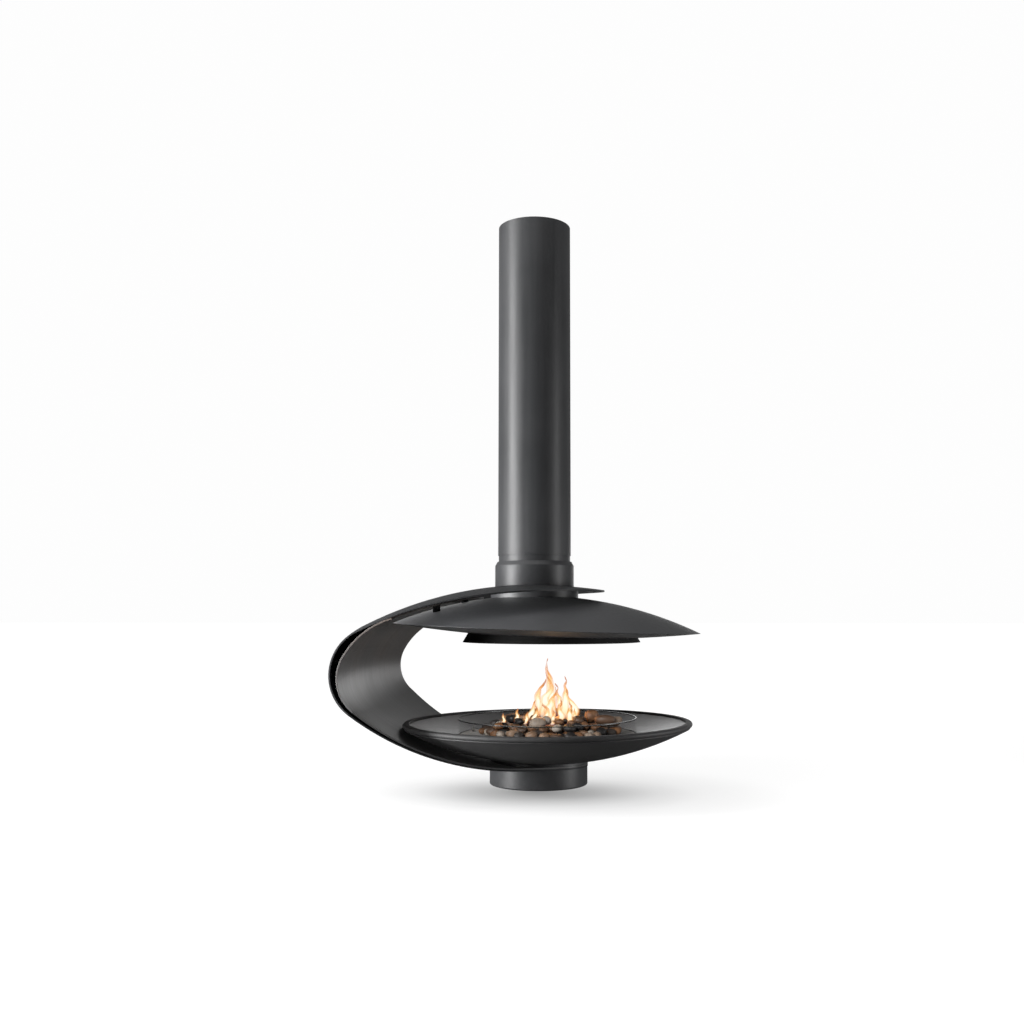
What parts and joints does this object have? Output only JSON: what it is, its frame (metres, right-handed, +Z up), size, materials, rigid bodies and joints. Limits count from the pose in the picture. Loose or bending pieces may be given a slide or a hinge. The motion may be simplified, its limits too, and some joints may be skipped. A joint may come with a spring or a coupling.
{
  "type": "hanging fireplace",
  "caption": "Round hanging fireplace: hood over a fire dish with pebbles and glass ring, carried by a wide C-shaped steel ribbon on a swivelling flue.",
  "frame": {"origin": "centre of the ceiling mount, on the flue's axis at the top of the flue", "axes": "+Z up along the flue, +X towards the open side of the C, +Y to the right-hand rule"},
  "size_m": [1.1873, 1.044, 1.922],
  "materials": {
    "charcoal_paint": "satin",
    "warm_grey_paint": "satin",
    "soot_paint": "matte",
    "liner_steel": "brushed",
    "zinc_steel": "satin",
    "bearing_steel": "polished",
    "cage_brass": "satin",
    "gas_brass": "satin",
    "seal_rope": "matte",
    "igniter_ceramic": "satin",
    "fire_glass": "clear",
    "tray_taupe": "matte",
    "fire_stone": "matte",
    "box_plastic": "matte"
  },
  "bodies": {
    "flue": {"flue_pipe": "charcoal_paint", "flue_liner": "liner_steel", "liner_fins": "liner_steel", "mount_ring": "zinc_steel", "swivel_sleeve": "charcoal_paint", "lower_race": "bearing_steel"},
    "hearth": {"collar": "charcoal_paint", "upper_race": "bearing_steel", "bearing_balls": "bearing_steel", "ball_cage": "cage_brass", "smoke_seal": "seal_rope", "outer_ribbon": "charcoal_paint", "inner_ribbon": "warm_grey_paint", "ribbon_spacers": "charcoal_paint", "nose_bosses": "charcoal_paint", "saddle_bolts": "zinc_steel", "neck_ring": "charcoal_paint", "hood_shell": "charcoal_paint", "hood_pan": "charcoal_paint", "hood_bolts": "zinc_steel", "smoke_tube": "liner_steel", "smoke_funnel": "liner_steel", "smoke_skirt": "soot_paint", "dish_shell": "charcoal_paint", "dish_liner": "warm_grey_paint", "seat_ring": "charcoal_paint", "tray_posts": "zinc_steel", "glass_channel": "charcoal_paint", "burner_tray": "tray_taupe", "burner_plenum": "zinc_steel", "igniter": "igniter_ceramic", "pebbles": "fire_stone", "gas_riser": "gas_brass", "base_hub": "charcoal_paint", "base_bolts": "zinc_steel", "clamp_ring": "charcoal_paint", "service_plate": "zinc_steel", "gas_valve": "gas_brass", "control_box": "box_plastic"},
    "glass": {"glass_ring": "fire_glass"},
    "cover": {"base_drum": "charcoal_paint"},
    "tap": {"valve_tap": "zinc_steel"}
  },
  "joints": [
    {"name": "hearth_swivel", "type": "hinge", "parent": "flue", "child": "hearth", "pos_m": [0, 0, -1.19], "axis": [0, 0, 1], "range_deg": [-90, 90]},
    {"name": "glass_lift", "type": "slide", "parent": "hearth", "child": "glass", "axis": [-0.007, 0, 1], "range_m": [0, 0.15]},
    {"name": "cover_drop", "type": "slide", "parent": "hearth", "child": "cover", "axis": [0, 0, -1], "range_m": [0, 0.06]},
    {"name": "tap_turn", "type": "hinge", "parent": "hearth", "child": "tap", "pos_m": [0.026, -0.02, -1.8929], "axis": [0, -1, 0], "range_deg": [0, 90]}
  ]
}
